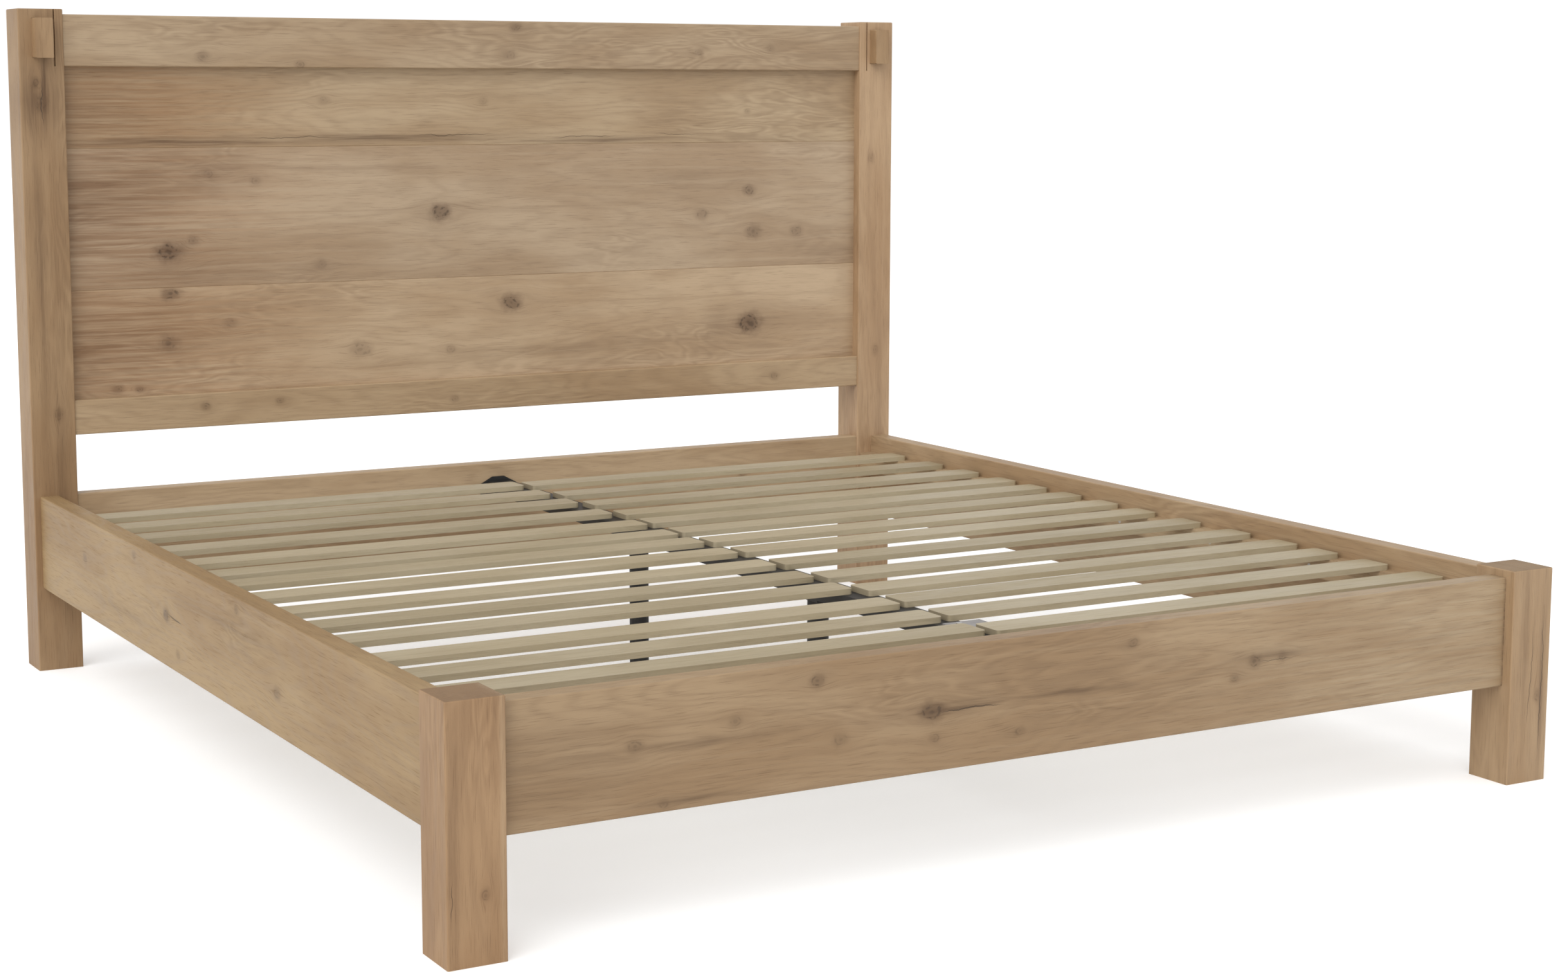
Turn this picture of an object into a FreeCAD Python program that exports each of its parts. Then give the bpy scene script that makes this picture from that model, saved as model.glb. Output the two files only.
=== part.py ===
# Wooden king-size bed frame, in millimetres.
# Frame: origin on the floor under the middle of the bed, +X to the right as seen from the foot end,
# +Y towards the headboard, +Z up.
import FreeCAD, Part
import os
import re
import Sketcher

doc = FreeCAD.newDocument("bed_frame")

# ---------------------------------------------------------------------------------------------
# Driving dimensions
# ---------------------------------------------------------------------------------------------
SIZE = {
    # whole frame and its four corner posts
    "frame_width": 2032,
    "frame_length": 2184,
    "post_side": 89,
    "head_post_height": 1325,
    "foot_leg_height": 369,
    "edge_radius": 2.5,
    # the four deep rails round the mattress
    "rail_top": 356,
    "rail_depth": 187,
    "rail_thickness": 38,
    "side_setback": 13,
    "foot_setback": 19,
    "head_setback": 4,
    # headboard
    "board_top": 1315,
    "top_rail_depth": 102,
    "lower_rail_bottom": 476,
    "lower_rail_depth": 70,
    "headboard_thickness": 44,
    "panel_recess": 20,
    "panel_thickness": 16,
    "panel_play": 1,
    "plank_joint_low": 765,
    "plank_joint_high": 1050,
    "plank_tongue": 8,
    "plank_tongue_thickness": 5,
    "plank_bevel": 1,
    "groove_depth": 10,
    # stub tenons and their mortises
    "tenon_length": 17.5,
    "tenon_thickness": 20,
    "tenon_shoulder": 12,
    "mortise_depth": 18,
    # rectangular pegs through the head posts, and the sawn line beside the top rail
    "peg_width": 35,
    "peg_height": 78,
    "peg_projection": 28,
    "peg_inset": 44,
    "peg_drop": 18,
    "joint_line_offset": 17,
    "joint_line_width": 3,
    "joint_line_depth": 5,
    # slats and the ledges that carry their outer ends
    "slat_top": 326,
    "slat_width": 66,
    "slat_thickness": 10,
    "slat_corner": 8,
    "slat_first": 886,
    "slat_pitch": 134,
    "slat_outer_gap": 7,
    "slat_centre_gap": 12,
    "ledge_width": 30,
    "ledge_depth": 40,
    # steel centre rail, its end brackets, tie plate and legs
    "tube_width": 50,
    "tube_depth": 25,
    "tube_wall": 2,
    "tube_end_gap": 4,
    "bracket_steel": 3,
    "bracket_reach": 43,
    "bracket_half_width": 42,
    "bracket_top_half": 14,
    "bracket_shoulder": 20,
    "bracket_rise": 35,
    "bracket_drop": 20,
    "bracket_cheek": 24,
    "bracket_play": 0.3,
    "tie_plate_width": 72,
    "tie_plate_length": 50,
    "tie_plate_steel": 2,
    "tie_plate_y": 800,
    "tie_plate_shift": 20,
    "leg_radius": 19,
    "leg_wall": 2,
    "leg_bottom": 22,
    "leg_plug": 14,
    "leg_y": 344,
    "leg_mid_y": 16,
    "flange_length": 76,
    "flange_steel": 4,
    "flange_bolt_y": 27,
    "stem_radius": 5,
    "stem_top": 50,
    "pad_radius": 18,
    "pad_thickness": 8,
    # hook-in fittings between the side rails and the posts
    "fitting_width": 20,
    "fitting_height": 130,
    "fitting_steel": 3,
    "hook_thickness": 4,
    "hook_height": 14,
    "hook_reach": 12,
    "hook_tip": 8,
    "hook_drop": 12,
    "hook_spread": 52,
    "slot_width": 6,
    "slot_height": 28,
    "slot_spare": 2,
    # screws and bolts
    "screw_radius": 2,
    "screw_head": 4,
    "screw_head_depth": 3,
    "plate_screw_length": 30,
    "ledge_screw_length": 50,
    "bolt_radius": 3,
    "bolt_head": 5,
    "bolt_head_depth": 4,
    "hole_play": 0.2,
}
LEDGE_SCREWS_PER_SIDE = 7

# The slats are laid by hand, so each one sits a little off the even pitch (towards the headboard
# where positive). Counted from the headboard.
SLAT_OFFSETS = {
    "left": [-1, -1, -1, -24, -44, -39, -9, -4, -11, -8, 1, -18, -7, 3],
    "right": [-17, -41, -51, -57, -39, -28, -19, -8, -17, -32, -32, -9, -6, -10],
}

sheet = doc.addObject("Spreadsheet::Sheet", "sizes")
for row, (alias, value) in enumerate(SIZE.items(), start=1):
    sheet.set(f"A{row}", alias)
    sheet.set(f"B{row}", str(value))
    sheet.setAlias(f"B{row}", alias)
doc.recompute()

# Places that many pieces share, written in terms of the driving dimensions.
POST_INNER = "(frame_width / 2 - post_side)"
POST_OUTER = "(frame_width / 2)"
POST_FACE = "(frame_length / 2 - post_side)"
HEAD_FACE = "(frame_length / 2 - post_side + head_setback)"
FOOT_FACE = "(frame_length / 2 - foot_setback)"
RAIL_BOTTOM = "(rail_top - rail_depth)"
SIDE_OUTER = "(frame_width / 2 - side_setback)"
SIDE_INNER = "(frame_width / 2 - side_setback - rail_thickness)"
SIDE_MIDDLE = "(frame_width / 2 - side_setback - rail_thickness / 2)"
SLAT_UNDERSIDE = "(slat_top - slat_thickness)"
TUBE_BOTTOM = "(slat_top - slat_thickness - tube_depth)"
TOP_RAIL_BOTTOM = "(board_top - top_rail_depth)"
LOWER_RAIL_TOP = "(lower_rail_bottom + lower_rail_depth)"
SLAT_LENGTH = f"({SIDE_INNER} - slat_outer_gap - slat_centre_gap / 2)"
FITTING_MIDDLE = "(rail_top - rail_depth / 2)"

SIDES = {"left": -1, "right": 1}
ENDS = {"foot": -1, "head": 1}


# ---------------------------------------------------------------------------------------------
# Helpers
# ---------------------------------------------------------------------------------------------
def formula(text):
    """The same text with every dimension's name pointing at its cell in the sheet."""
    return re.sub(r"[a-z_]+", lambda word: f"sizes.{word.group()}", text)


def bind(target, **sizes):
    """Tie properties to formulas; a double underscore stands for a dot."""
    for name, text in sizes.items():
        target.setExpression(name.replace("__", "."), formula(text))


def place(target, x="0", y="0", z="0"):
    bind(target, Placement__Base__x=x, Placement__Base__y=y, Placement__Base__z=z)


def turn(target, axis, degrees):
    target.Placement = FreeCAD.Placement(FreeCAD.Vector(), FreeCAD.Rotation(axis, degrees))


def span(sign, near, far):
    """Start and extent of a stretch that runs from near to far on one side of the middle."""
    start = near if sign > 0 else f"-({far})"
    return start, f"({far}) - ({near})"


def block(name, x, y, z):
    """A box; x, y and z are each a start and an extent."""
    box = doc.addObject("Part::Box", name)
    bind(box, Length=x[1], Width=y[1], Height=z[1])
    place(box, x[0], y[0], z[0])
    return box


def runs_along(edge, axis):
    direction = edge.tangentAt(edge.FirstParameter)
    return abs(direction.dot(axis)) > 0.99


def ease(name, board, axis, top_too=False, radius=SIZE["edge_radius"]):
    """Round a board's edges that run along an axis, and those of its top end where asked."""
    doc.recompute()
    top = board.Shape.BoundBox.ZMax
    chosen = []
    for number, edge in enumerate(board.Shape.Edges, start=1):
        on_top = top_too and abs(edge.CenterOfMass.z - top) < 0.01
        if runs_along(edge, axis) or on_top:
            chosen.append((number, radius, radius))
    eased = doc.addObject("Part::Fillet", name)
    eased.Base = board
    eased.Edges = chosen
    return eased


def join(name, pieces):
    fused = doc.addObject("Part::MultiFuse", name)
    fused.Shapes = pieces
    fused.Refine = True
    return fused


def take_away(name, stock, tools):
    cut = doc.addObject("Part::Cut", name)
    cut.Base = stock
    cut.Tool = tools[0] if len(tools) == 1 else join(f"{name}_tools", tools)
    return cut


def group(name, solids):
    compound = doc.addObject("Part::Compound", name)
    compound.Links = solids
    return compound


def sketch_on(body, plane, name):
    sketch = body.newObject("Sketcher::SketchObject", name)
    support = next(item for item in body.Origin.OriginFeatures if item.Role == plane)
    sketch.AttachmentSupport = (support, [""])
    sketch.MapMode = "FlatFace"
    return sketch


def polygon(sketch, corners):
    """A closed outline through the corners, each held by its distances from the origin."""
    points = [FreeCAD.Vector(x, y, 0) for x, y in corners]
    count = len(points)
    for number in range(count):
        sketch.addGeometry(Part.LineSegment(points[number], points[(number + 1) % count]), False)
    for number in range(count):
        sketch.addConstraint(Sketcher.Constraint("Coincident", number, 2, (number + 1) % count, 1))


X = FreeCAD.Vector(1, 0, 0)
Y = FreeCAD.Vector(0, 1, 0)
Z = FreeCAD.Vector(0, 0, 1)

parts = {}


def keep(label, target):
    """Name a finished sub-part and remember it for export."""
    target.Label = label
    parts[label] = target
    return target


# ---------------------------------------------------------------------------------------------
# Screws: a countersunk head and a plain shank, made pointing along +Z with the head's face at 0
# ---------------------------------------------------------------------------------------------
def screw(name, length, x, y, z, axis=X, degrees=0, play="0"):
    head = doc.addObject("Part::Cone", f"{name}_head")
    bind(head, Radius1=f"screw_head + {play}", Radius2=f"screw_radius + {play}")
    bind(head, Height="screw_head_depth")
    shank = doc.addObject("Part::Cylinder", f"{name}_shank")
    bind(shank, Radius=f"screw_radius + {play}", Height=f"{length} - screw_head_depth + {play}")
    place(shank, z="screw_head_depth")
    whole = join(name, [head, shank])
    turn(whole, axis, degrees)
    place(whole, x, y, z)
    return whole


def screws_and_holes(name, seats, length):
    """The screws of one kind as a group, and the slightly larger tools that drill their holes."""
    solids = []
    drills = []
    for number, (x, y, z, axis, degrees) in enumerate(seats, start=1):
        solids.append(screw(f"{name}_{number}", length, x, y, z, axis, degrees))
        drill = screw(f"{name}_drill_{number}", length, x, y, z, axis, degrees, "hole_play")
        drills.append(drill)
    return solids, drills


# ---------------------------------------------------------------------------------------------
# Ledge screws run outwards through each ledge into its side rail
# ---------------------------------------------------------------------------------------------
ledge_middle = f"{SLAT_UNDERSIDE} - ledge_depth / 2"
ledge_seats = {side: [] for side in SIDES}
for side, sign in SIDES.items():
    for number in range(LEDGE_SCREWS_PER_SIDE):
        along = (number + 0.5) / LEDGE_SCREWS_PER_SIDE - 0.5
        seat_x = f"{sign} * ({SIDE_INNER} - ledge_width)"
        seat = (seat_x, f"{along} * 2 * {POST_FACE}", ledge_middle, Y, 90 * sign)
        ledge_seats[side].append(seat)

ledge_screws = []
ledge_drills = {}
for side in SIDES:
    name = f"ledge_screw_{side}"
    solids, drills = screws_and_holes(name, ledge_seats[side], "ledge_screw_length")
    ledge_screws += solids
    ledge_drills[side] = drills
keep("ledge_screws", group("ledge_screw_group", ledge_screws))


# ---------------------------------------------------------------------------------------------
# Hook-in fittings: a slotted keeper let into the post, a plate with two hooks in the rail's end
# ---------------------------------------------------------------------------------------------
def fitting_screw_seats(sign_x, sign_y, towards_post):
    """Two screws per plate, one near each end, going into the post or into the rail."""
    seats = []
    drive = sign_y if towards_post else -sign_y
    for up in (-1, 1):
        height = f"{FITTING_MIDDLE} + {up} * (fitting_height / 2 - 8)"
        seats.append((f"{sign_x} * {SIDE_MIDDLE}", f"{sign_y} * {POST_FACE}", height, X, -90 * drive))
    return seats


keepers = []
hook_plates = []
fitting_screws = []
post_pockets = {}
rail_pockets = {}
fitting_z = (f"{FITTING_MIDDLE} - fitting_height / 2", "fitting_height")
for side, sign_x in SIDES.items():
    for end, sign_y in ENDS.items():
        corner = f"{end}_{side}"
        width = span(sign_x, f"{SIDE_MIDDLE} - fitting_width / 2", f"{SIDE_MIDDLE} + fitting_width / 2")
        slot_x = span(sign_x, f"{SIDE_MIDDLE} - slot_width / 2", f"{SIDE_MIDDLE} + slot_width / 2")
        hook_x = span(sign_x, f"{SIDE_MIDDLE} - hook_thickness / 2", f"{SIDE_MIDDLE} + hook_thickness / 2")
        keeper_y = span(sign_y, POST_FACE, f"{POST_FACE} + fitting_steel")
        plate_y = span(sign_y, f"{POST_FACE} - fitting_steel", POST_FACE)
        pocket_y = span(sign_y, POST_FACE, f"{POST_FACE} + hook_reach + slot_spare")
        neck_y = span(sign_y, f"{POST_FACE} - fitting_steel", f"{POST_FACE} + hook_reach")
        tip_y = span(sign_y, f"{POST_FACE} + hook_reach - hook_tip", f"{POST_FACE} + hook_reach")
        slots = []
        pockets = []
        hooks = []
        for up in (-1, 1):
            seat = f"{FITTING_MIDDLE} + {up} * hook_spread / 2 - hook_height / 2"
            slot_z = (seat, "slot_height")
            pocket_z = (f"{seat} - hook_drop - slot_spare", "slot_height + hook_drop + slot_spare")
            neck_z = (seat, "hook_height")
            tip_z = (f"{seat} - hook_drop", "hook_drop + 1")
            tag = "low" if up < 0 else "high"
            slots.append(block(f"slot_{corner}_{tag}", slot_x, keeper_y, slot_z))
            pockets.append(block(f"pocket_{corner}_{tag}", slot_x, pocket_y, pocket_z))
            hooks.append(block(f"neck_{corner}_{tag}", hook_x, neck_y, neck_z))
            hooks.append(block(f"tip_{corner}_{tag}", hook_x, tip_y, tip_z))
        into_post, post_drills = screws_and_holes(
            f"keeper_screw_{corner}", fitting_screw_seats(sign_x, sign_y, True), "plate_screw_length")
        into_rail, rail_drills = screws_and_holes(
            f"hook_screw_{corner}", fitting_screw_seats(sign_x, sign_y, False), "plate_screw_length")
        keeper_stock = block(f"keeper_stock_{corner}", width, keeper_y, fitting_z)
        hook_stock = block(f"hook_stock_{corner}", width, plate_y, fitting_z)
        keepers.append(take_away(f"keeper_{corner}", keeper_stock, slots + post_drills))
        hooked = join(f"hooked_{corner}", [hook_stock] + hooks)
        hook_plates.append(take_away(f"hook_plate_{corner}", hooked, rail_drills))
        fitting_screws += into_post + into_rail
        post_pockets[corner] = [keeper_stock] + pockets + post_drills
        rail_pockets[corner] = [hook_stock] + rail_drills

keep("post_keeper_plates", group("keeper_group", keepers))
keep("rail_hook_plates", group("hook_plate_group", hook_plates))


# ---------------------------------------------------------------------------------------------
# Posts and legs
# ---------------------------------------------------------------------------------------------
def mortise(name, sign, face_y, thickness, bottom, height, end=1):
    """A blind slot for a stub tenon, cut into a post's inner face."""
    x = span(sign, POST_INNER, f"{POST_INNER} + mortise_depth")
    near = f"{face_y} + ({thickness} - tenon_thickness) / 2"
    if end < 0:
        near = f"{face_y} - ({thickness} + tenon_thickness) / 2"
    y = span(end, near, f"{near} + tenon_thickness")
    z = (f"{bottom} + tenon_shoulder", f"{height} - 2 * tenon_shoulder")
    return block(name, x, y, z)


def peg_stretch(sign):
    middle = f"({POST_INNER} + post_side / 2)"
    return span(sign, f"{middle} - peg_width / 2", f"{middle} + peg_width / 2")


PEG_Z = ("head_post_height - peg_drop - peg_height", "peg_height")


def head_post(side, sign):
    x = span(sign, POST_INNER, POST_OUTER)
    y = span(1, POST_FACE, f"{POST_FACE} + post_side")
    stock = block(f"head_post_stock_{side}", x, y, ("0", "head_post_height"))
    eased = ease(f"head_post_eased_{side}", stock, Z, top_too=True)
    top = mortise(f"top_mortise_{side}", sign, HEAD_FACE, "headboard_thickness",
                  TOP_RAIL_BOTTOM, "top_rail_depth")
    lower = mortise(f"lower_mortise_{side}", sign, HEAD_FACE, "headboard_thickness",
                    "lower_rail_bottom", "lower_rail_depth")
    cross = mortise(f"cross_mortise_{side}", sign, HEAD_FACE, "rail_thickness",
                    RAIL_BOTTOM, "rail_depth")
    groove = block(f"panel_groove_{side}",
                   span(sign, POST_INNER, f"{POST_INNER} + groove_depth"),
                   (f"{HEAD_FACE} + panel_recess", "panel_thickness"),
                   (f"{LOWER_RAIL_TOP} - groove_depth",
                    f"{TOP_RAIL_BOTTOM} - {LOWER_RAIL_TOP} + 2 * groove_depth"))
    peg_hole = block(f"peg_hole_{side}", peg_stretch(sign), (POST_FACE, "peg_inset"), PEG_Z)
    line_near = f"{POST_INNER} + joint_line_offset"
    line = block(f"joint_line_{side}",
                 span(sign, line_near, f"{line_near} + joint_line_width"),
                 (POST_FACE, "joint_line_depth"),
                 (TOP_RAIL_BOTTOM, f"head_post_height - {TOP_RAIL_BOTTOM} + 1"))
    tools = [top, lower, cross, groove, peg_hole, line] + post_pockets[f"head_{side}"]
    return take_away(f"head_post_cut_{side}", eased, tools)


def foot_leg(side, sign):
    x = span(sign, POST_INNER, POST_OUTER)
    y = span(-1, POST_FACE, f"{POST_FACE} + post_side")
    stock = block(f"foot_leg_stock_{side}", x, y, ("0", "foot_leg_height"))
    eased = ease(f"foot_leg_eased_{side}", stock, Z, top_too=True)
    slot = mortise(f"foot_mortise_{side}", sign, FOOT_FACE, "rail_thickness",
                   RAIL_BOTTOM, "rail_depth", end=-1)
    return take_away(f"foot_leg_cut_{side}", eased, [slot] + post_pockets[f"foot_{side}"])


for side, sign in SIDES.items():
    keep(f"head_post_{side}", head_post(side, sign))
    keep(f"foot_leg_{side}", foot_leg(side, sign))
    peg_stock = block(f"peg_stock_{side}", peg_stretch(sign),
                      (f"{POST_FACE} - peg_projection", "peg_projection + peg_inset"), PEG_Z)
    keep(f"headboard_peg_{side}", ease(f"peg_{side}", peg_stock, Y))


# ---------------------------------------------------------------------------------------------
# Cross rails with a stub tenon at each end
# ---------------------------------------------------------------------------------------------
def tenoned_rail(name, y, bottom, height, thickness):
    stock = block(f"{name}_stock", (f"-{POST_INNER}", f"2 * {POST_INNER}"), (y, thickness),
                  (bottom, height))
    eased = ease(f"{name}_eased", stock, X)
    tongue_y = (f"{y} + ({thickness} - tenon_thickness) / 2", "tenon_thickness")
    tongue_z = (f"{bottom} + tenon_shoulder", f"{height} - 2 * tenon_shoulder")
    tongue_x = (f"-{POST_INNER} - tenon_length", f"2 * ({POST_INNER} + tenon_length)")
    tongue = block(f"{name}_tongue", tongue_x, tongue_y, tongue_z)
    return join(f"{name}_joined", [eased, tongue])


def panel_groove(name, z):
    return block(name, (f"-{POST_INNER} - 1", f"2 * ({POST_INNER} + 1)"),
                 (f"{HEAD_FACE} + panel_recess", "panel_thickness"), z)


top_rail = tenoned_rail("top_rail", HEAD_FACE, TOP_RAIL_BOTTOM, "top_rail_depth",
                        "headboard_thickness")
top_groove = panel_groove("top_rail_groove", (f"{TOP_RAIL_BOTTOM} - 1", "groove_depth + 1"))
keep("headboard_top_rail", take_away("top_rail_cut", top_rail, [top_groove]))

lower_rail = tenoned_rail("lower_rail", HEAD_FACE, "lower_rail_bottom", "lower_rail_depth",
                          "headboard_thickness")
lower_groove = panel_groove("lower_rail_groove", (f"{LOWER_RAIL_TOP} - groove_depth", "groove_depth + 1"))
keep("headboard_lower_rail", take_away("lower_rail_cut", lower_rail, [lower_groove]))

panel_reach = f"({POST_INNER} + groove_depth - panel_play)"
panel_run = (f"-{panel_reach}", f"2 * {panel_reach}")
panel_face = (f"{HEAD_FACE} + panel_recess", "panel_thickness")
tongue_face = (f"{HEAD_FACE} + panel_recess + (panel_thickness - plank_tongue_thickness) / 2",
               "plank_tongue_thickness")


def plank(name, bottom, top, grooved, tongued):
    """One board of the panel, with its front edges bevelled and a tongue up into the next."""
    stock = block(f"{name}_stock", panel_run, panel_face, (bottom, f"{top} - ({bottom})"))
    doc.recompute()
    front = stock.Shape.BoundBox.YMin
    size = SIZE["plank_bevel"]
    edges = [number for number, edge in enumerate(stock.Shape.Edges, start=1)
             if runs_along(edge, X) and abs(edge.CenterOfMass.y - front) < 0.01]
    board = doc.addObject("Part::Chamfer", f"{name}_bevelled")
    board.Base = stock
    board.Edges = [(number, size, size) for number in edges]
    if tongued:
        tongue = block(f"{name}_tongue", panel_run, tongue_face, (f"{top} - 1", "plank_tongue + 1"))
        board = join(f"{name}_joined", [board, tongue])
    if grooved:
        groove = block(f"{name}_groove", (f"-{panel_reach} - 1", f"2 * ({panel_reach} + 1)"), tongue_face,
                       (f"{bottom} - 1", "plank_tongue + 2"))
        board = take_away(f"{name}_cut", board, [groove])
    return board


panel_bottom = f"({LOWER_RAIL_TOP} - groove_depth + panel_play)"
panel_top = f"({TOP_RAIL_BOTTOM} + groove_depth - panel_play)"
keep("headboard_plank_lower", plank("plank_lower", panel_bottom, "plank_joint_low", False, True))
keep("headboard_plank_middle", plank("plank_middle", "plank_joint_low", "plank_joint_high", True, True))
keep("headboard_plank_upper", plank("plank_upper", "plank_joint_high", panel_top, True, False))


# ---------------------------------------------------------------------------------------------
# Centre rail hangers: a shaped back plate on the wooden rail and a cradle for the steel tube
# ---------------------------------------------------------------------------------------------
def bracket(end, sign):
    body = doc.addObject("PartDesign::Body", f"bracket_{end}")
    half = SIZE["bracket_half_width"]
    top_half = SIZE["bracket_top_half"]
    rise = SIZE["bracket_rise"]
    drop = SIZE["bracket_drop"]
    shoulder = SIZE["bracket_shoulder"]
    plate = sketch_on(body, "XZ_Plane", f"bracket_plate_sketch_{end}")
    outline = [(-half, -drop), (half, -drop), (half, shoulder), (top_half, rise),
               (-top_half, rise), (-half, shoulder)]
    polygon(plate, outline)
    plate.addConstraint(Sketcher.Constraint("Vertical", 1))
    plate.addConstraint(Sketcher.Constraint("Vertical", 5))
    plate.addConstraint(Sketcher.Constraint("Equal", 1, 5))
    plate.addConstraint(Sketcher.Constraint("Symmetric", 0, 1, 0, 2, -2))
    plate.addConstraint(Sketcher.Constraint("Symmetric", 3, 1, 3, 2, -2))
    sizes = [("DistanceX", (0, 1, 0, 2), 2 * half, "2 * bracket_half_width"),
             ("DistanceX", (3, 2, 3, 1), 2 * top_half, "2 * bracket_top_half"),
             ("DistanceY", (0, 1, -1, 1), drop, "bracket_drop"),
             ("DistanceY", (-1, 1, 1, 2), shoulder, "bracket_shoulder"),
             ("DistanceY", (-1, 1, 3, 1), rise, "bracket_rise")]
    for kind, where, value, text in sizes:
        number = plate.addConstraint(Sketcher.Constraint(kind, *where, value))
        plate.setExpression(f"Constraints[{number}]", formula(text))
    back = body.newObject("PartDesign::Pad", f"bracket_back_{end}")
    back.Profile = plate
    bind(back, Length="bracket_steel")
    inner = SIZE["tube_width"] / 2 + SIZE["bracket_play"]
    outer = inner + SIZE["bracket_steel"]
    floor = SIZE["bracket_steel"]
    cheek = SIZE["bracket_cheek"]
    cradle = sketch_on(body, "XZ_Plane", f"bracket_cradle_sketch_{end}")
    polygon(cradle, [(-outer, -floor), (outer, -floor), (outer, cheek), (inner, cheek),
                     (inner, 0), (-inner, 0), (-inner, cheek), (-outer, cheek)])
    for number in (1, 3, 5, 7):
        cradle.addConstraint(Sketcher.Constraint("Vertical", number))
    for number in (2, 6):
        cradle.addConstraint(Sketcher.Constraint("Horizontal", number))
    cradle.addConstraint(Sketcher.Constraint("Symmetric", 0, 1, 0, 2, -2))
    cradle.addConstraint(Sketcher.Constraint("Symmetric", 4, 1, 4, 2, -2))
    cradle.addConstraint(Sketcher.Constraint("PointOnObject", 4, 1, -1))
    cradle.addConstraint(Sketcher.Constraint("Equal", 1, 7))
    sizes = [("DistanceX", (0, 1, 0, 2), 2 * outer, "tube_width + 2 * (bracket_play + bracket_steel)"),
             ("DistanceX", (4, 2, 4, 1), 2 * inner, "tube_width + 2 * bracket_play"),
             ("DistanceY", (0, 1, -1, 1), floor, "bracket_steel"),
             ("DistanceY", (-1, 1, 1, 2), cheek, "bracket_cheek")]
    for kind, where, value, text in sizes:
        number = cradle.addConstraint(Sketcher.Constraint(kind, *where, value))
        cradle.setExpression(f"Constraints[{number}]", formula(text))
    arms = body.newObject("PartDesign::Pad", f"bracket_arms_{end}")
    arms.Profile = cradle
    bind(arms, Length="bracket_reach")
    body.Tip = arms
    turn(body, Z, 0 if sign > 0 else 180)
    face = HEAD_FACE if sign > 0 else f"-({FOOT_FACE} - rail_thickness)"
    place(body, y=face, z=TUBE_BOTTOM)
    return body


bracket_screws = []
bracket_drills = {}
brackets = {}
for end, sign in ENDS.items():
    seats = []
    face = f"{HEAD_FACE} - bracket_steel" if sign > 0 else f"-({FOOT_FACE} - rail_thickness - bracket_steel)"
    for across in (-1, 1):
        for level in ("-10", "12"):
            x = f"{across} * (bracket_half_width - 8)"
            seats.append((x, face, f"{TUBE_BOTTOM} + {level}", X, -90 * sign))
    solids, drills = screws_and_holes(f"bracket_screw_{end}", seats, "plate_screw_length")
    bracket_screws += solids
    bracket_drills[end] = drills
    keep(f"centre_rail_bracket_{end}", take_away(f"bracket_cut_{end}", bracket(end, sign), drills))
keep("plate_screws", group("plate_screw_group", fitting_screws + bracket_screws))

head_rail = tenoned_rail("head_rail", HEAD_FACE, RAIL_BOTTOM, "rail_depth", "rail_thickness")
keep("head_cross_rail", take_away("head_rail_cut", head_rail, bracket_drills["head"]))

foot_rail = tenoned_rail("foot_rail", f"-{FOOT_FACE}", RAIL_BOTTOM, "rail_depth", "rail_thickness")
keep("foot_rail", take_away("foot_rail_cut", foot_rail, bracket_drills["foot"]))


# ---------------------------------------------------------------------------------------------
# Side rails, their ledges and the slats
# ---------------------------------------------------------------------------------------------
full_run = (f"-{POST_FACE}", f"2 * {POST_FACE}")
for side, sign in SIDES.items():
    rail_stock = block(f"side_rail_stock_{side}", span(sign, SIDE_INNER, SIDE_OUTER), full_run,
                       (RAIL_BOTTOM, "rail_depth"))
    rail = ease(f"side_rail_eased_{side}", rail_stock, Y)
    tools = rail_pockets[f"head_{side}"] + rail_pockets[f"foot_{side}"] + ledge_drills[side]
    keep(f"side_rail_{side}", take_away(f"side_rail_cut_{side}", rail, tools))
    ledge_stock = block(f"ledge_stock_{side}", span(sign, f"{SIDE_INNER} - ledge_width", SIDE_INNER),
                        full_run, (f"{SLAT_UNDERSIDE} - ledge_depth", "ledge_depth"))
    keep(f"slat_ledge_{side}", take_away(f"ledge_cut_{side}", ledge_stock, ledge_drills[side]))


def slat(name, sign, y):
    """A flat strip with square-cut ends and slightly rounded corners."""
    across = span(sign, "slat_centre_gap / 2", f"slat_centre_gap / 2 + {SLAT_LENGTH}")
    strip = block(f"{name}_strip", across, (f"{y} - slat_width / 2", "slat_width"),
                  (SLAT_UNDERSIDE, "slat_thickness"))
    return ease(f"{name}_rounded", strip, Z, radius=SIZE["slat_corner"])


for side, sign in SIDES.items():
    for number, offset in enumerate(SLAT_OFFSETS[side]):
        name = f"slat_{side}_{number + 1:02d}"
        keep(name, slat(name, sign, f"slat_first - {number} * slat_pitch + {offset}"))


# ---------------------------------------------------------------------------------------------
# Centre rail: flat steel tube between the two hangers, with a tie plate near the foot end
# ---------------------------------------------------------------------------------------------
tube_start = f"-({FOOT_FACE} - rail_thickness) + tube_end_gap"
tube_run = f"{HEAD_FACE} + {FOOT_FACE} - rail_thickness - 2 * tube_end_gap"
tube_outer = block("tube_outer", ("-tube_width / 2", "tube_width"), (tube_start, tube_run),
                   (TUBE_BOTTOM, "tube_depth"))
tube_bore = block("tube_bore", ("tube_wall - tube_width / 2", "tube_width - 2 * tube_wall"),
                  (f"{tube_start} - 1", f"{tube_run} + 2"),
                  (f"{TUBE_BOTTOM} + tube_wall", "tube_depth - 2 * tube_wall"))


def bolt(name, x, y, z, degrees, length, play="0"):
    """A round-headed bolt whose head stands on the surface at z and whose shank goes up."""
    head = doc.addObject("Part::Cylinder", f"{name}_head")
    bind(head, Radius="bolt_head", Height="bolt_head_depth")
    place(head, z="-bolt_head_depth")
    shank = doc.addObject("Part::Cylinder", f"{name}_shank")
    bind(shank, Radius=f"bolt_radius + {play}", Height=length)
    whole = join(name, [head, shank])
    turn(whole, X, degrees)
    place(whole, x, y, z)
    return whole


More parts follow.
